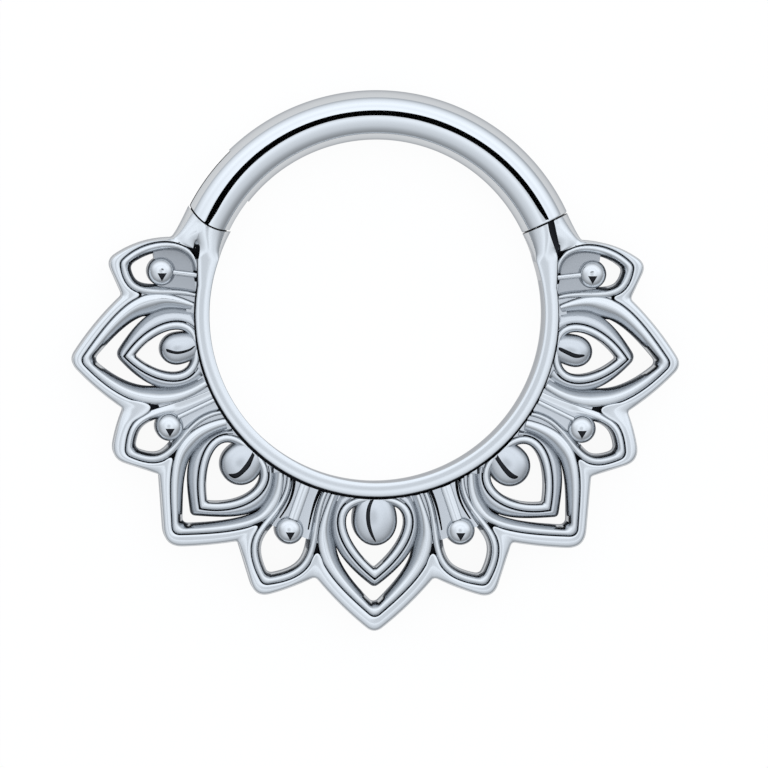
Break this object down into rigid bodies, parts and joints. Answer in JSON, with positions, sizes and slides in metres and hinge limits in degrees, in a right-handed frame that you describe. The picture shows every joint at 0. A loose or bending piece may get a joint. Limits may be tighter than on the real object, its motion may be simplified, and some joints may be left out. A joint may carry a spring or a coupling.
{
  "type": "septum ring",
  "caption": "Hinged round bar ring for a nose piercing, with a pierced and cast petal ornament that fills its lower half.",
  "frame": {"origin": "centre of the wearing bar's circle, in the plane of the ornament's flat back", "axes": "+Z out of the ornament's front (upwards as it lies), +Y towards the middle of the wearing bar, +X across the ring"},
  "size_m": [0.0148, 0.0131, 0.0012],
  "materials": {
    "base_steel": "polished",
    "bar_steel": "mirror polished",
    "pin_steel": "satin"
  },
  "bodies": {
    "base": {"filigree_base": "base_steel", "hinge_pin": "pin_steel"},
    "bar": {"hinged_bar": "bar_steel"}
  },
  "joints": [
    {"name": "hinge", "type": "hinge", "parent": "base", "child": "bar", "pos_m": [-0.00359, 0.00276, 0.0006], "axis": [0, 0, 1], "range_deg": [0, 100]}
  ]
}
